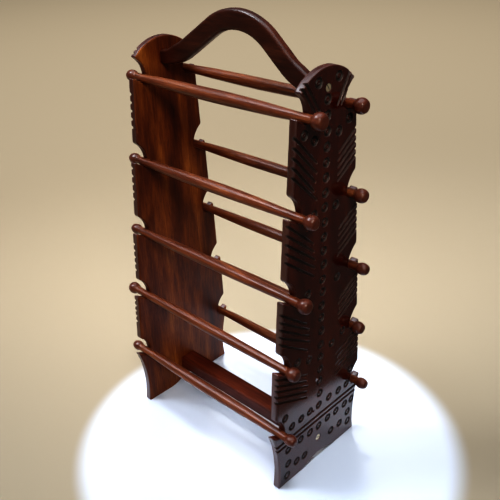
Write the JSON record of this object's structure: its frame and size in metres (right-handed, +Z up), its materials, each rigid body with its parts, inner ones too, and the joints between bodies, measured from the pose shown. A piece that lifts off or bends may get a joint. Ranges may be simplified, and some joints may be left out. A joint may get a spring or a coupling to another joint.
{
  "type": "bangle stand",
  "caption": "Carved wooden bangle stand: two tapering notched side panels joined by a base rail and an arched carrying handle, with lift-out knobbed rods that bangles hang on.",
  "frame": {"origin": "on the floor, under the middle of the stand", "axes": "+X along the rods to the right panel, +Y from front to back, +Z up"},
  "size_m": [0.2492, 0.1386, 0.4452],
  "materials": {
    "panel_wood": "dark stained wood under satin lacquer, grain up the panel",
    "rail_wood": "red-brown stained wood under satin lacquer, grain along the rail",
    "rod_wood": "red-brown turned wood under satin lacquer, grain along the rod",
    "screw_brass": "worn, slightly dull brass"
  },
  "bodies": {
    "stand_frame": {"left_side_panel": "panel_wood", "right_side_panel": "panel_wood", "handle": "panel_wood", "base_rail": "rail_wood", "handle_screws": "screw_brass", "base_rail_screws": "screw_brass"},
    "front_rod_1": {"front_rod_1": "rod_wood"},
    "front_rod_2": {"front_rod_2": "rod_wood"},
    "front_rod_3": {"front_rod_3": "rod_wood"},
    "front_rod_4": {"front_rod_4": "rod_wood"},
    "front_rod_5": {"front_rod_5": "rod_wood"},
    "rear_rod_1": {"rear_rod_1": "rod_wood"},
    "rear_rod_2": {"rear_rod_2": "rod_wood"},
    "rear_rod_3": {"rear_rod_3": "rod_wood"},
    "rear_rod_4": {"rear_rod_4": "rod_wood"},
    "rear_rod_5": {"rear_rod_5": "rod_wood"}
  },
  "joints": [
    {"name": "front_rod_1_lift", "type": "slide", "parent": "stand_frame", "child": "front_rod_1", "axis": [0, -0.766, 0.6428], "range_m": [0, 0.045]},
    {"name": "front_rod_2_lift", "type": "slide", "parent": "stand_frame", "child": "front_rod_2", "axis": [0, -0.766, 0.6428], "range_m": [0, 0.045]},
    {"name": "front_rod_3_lift", "type": "slide", "parent": "stand_frame", "child": "front_rod_3", "axis": [0, -0.766, 0.6428], "range_m": [0, 0.045]},
    {"name": "front_rod_4_lift", "type": "slide", "parent": "stand_frame", "child": "front_rod_4", "axis": [0, -0.766, 0.6428], "range_m": [0, 0.045]},
    {"name": "front_rod_5_lift", "type": "slide", "parent": "stand_frame", "child": "front_rod_5", "axis": [0, -0.766, 0.6428], "range_m": [0, 0.045]},
    {"name": "rear_rod_1_lift", "type": "slide", "parent": "stand_frame", "child": "rear_rod_1", "axis": [0, 0.766, 0.6428], "range_m": [0, 0.045]},
    {"name": "rear_rod_2_lift", "type": "slide", "parent": "stand_frame", "child": "rear_rod_2", "axis": [0, 0.766, 0.6428], "range_m": [0, 0.045]},
    {"name": "rear_rod_3_lift", "type": "slide", "parent": "stand_frame", "child": "rear_rod_3", "axis": [0, 0.766, 0.6428], "range_m": [0, 0.045]},
    {"name": "rear_rod_4_lift", "type": "slide", "parent": "stand_frame", "child": "rear_rod_4", "axis": [0, 0.766, 0.6428], "range_m": [0, 0.045]},
    {"name": "rear_rod_5_lift", "type": "slide", "parent": "stand_frame", "child": "rear_rod_5", "axis": [0, 0.766, 0.6428], "range_m": [0, 0.045]}
  ]
}
